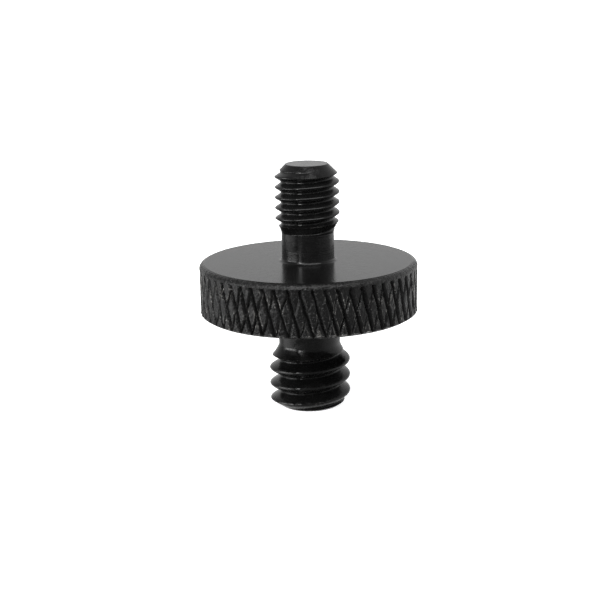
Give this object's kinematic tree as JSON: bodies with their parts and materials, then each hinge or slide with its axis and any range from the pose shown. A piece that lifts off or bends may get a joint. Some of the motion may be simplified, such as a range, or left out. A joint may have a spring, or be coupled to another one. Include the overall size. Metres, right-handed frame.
{
  "type": "tripod thread adapter",
  "caption": "Black turned metal stud with a small male metric thread above and a larger male inch thread below a diamond-knurled finger flange; joins camera accessories to tripod mounts.",
  "frame": {"origin": "on the threads' common axis, at the flat end face of the lower stud", "axes": "+Z along the axis, from the larger lower thread to the smaller upper one; X and Y across the flange"},
  "size_m": [0.017, 0.017, 0.0192],
  "materials": {
    "black_metal": "satin black plating on turned steel"
  },
  "bodies": {
    "root": {"adapter": "black_metal"}
  },
  "joints": []
}
